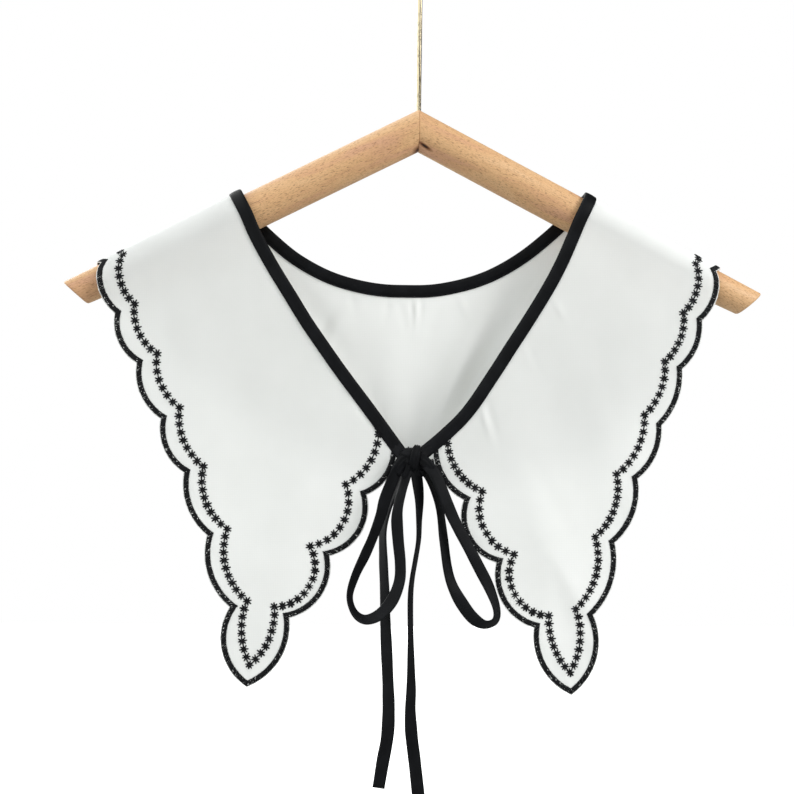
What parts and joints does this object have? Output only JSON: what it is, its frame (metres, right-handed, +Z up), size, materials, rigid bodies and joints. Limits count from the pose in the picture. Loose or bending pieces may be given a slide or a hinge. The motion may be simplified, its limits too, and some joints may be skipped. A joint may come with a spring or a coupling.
{
  "type": "false collar on a clothes hanger",
  "caption": "White cotton false collar with scalloped, star-stitched edges, black bound V neck and tied bow, on a round wooden hanger with a wire hook.",
  "frame": {"origin": "inner top of the hanger's hook, where a rail carries it", "axes": "+Z up, the collar's front with the bow faces -Y, the hanger's arms spread along X"},
  "size_m": [0.4446, 0.0502, 0.5746],
  "materials": {
    "white_cotton": "matt plain-woven cotton",
    "black_tape": "smooth cotton sateen tape",
    "beech": "smooth, clear satin lacquer",
    "brass_wire": "polished wire"
  },
  "bodies": {
    "root": {"hanger_hook": "brass_wire", "hanger_arm_left": "beech", "hanger_arm_right": "beech", "collar_front_left": "white_cotton", "collar_front_right": "white_cotton", "collar_back": "white_cotton", "binding_front_left": "black_tape", "binding_front_right": "black_tape", "binding_back": "black_tape", "tie_knot": "black_tape", "tie_loop_left": "black_tape", "tie_loop_right": "black_tape", "tie_tail_left": "black_tape", "tie_tail_right": "black_tape"}
  },
  "joints": []
}
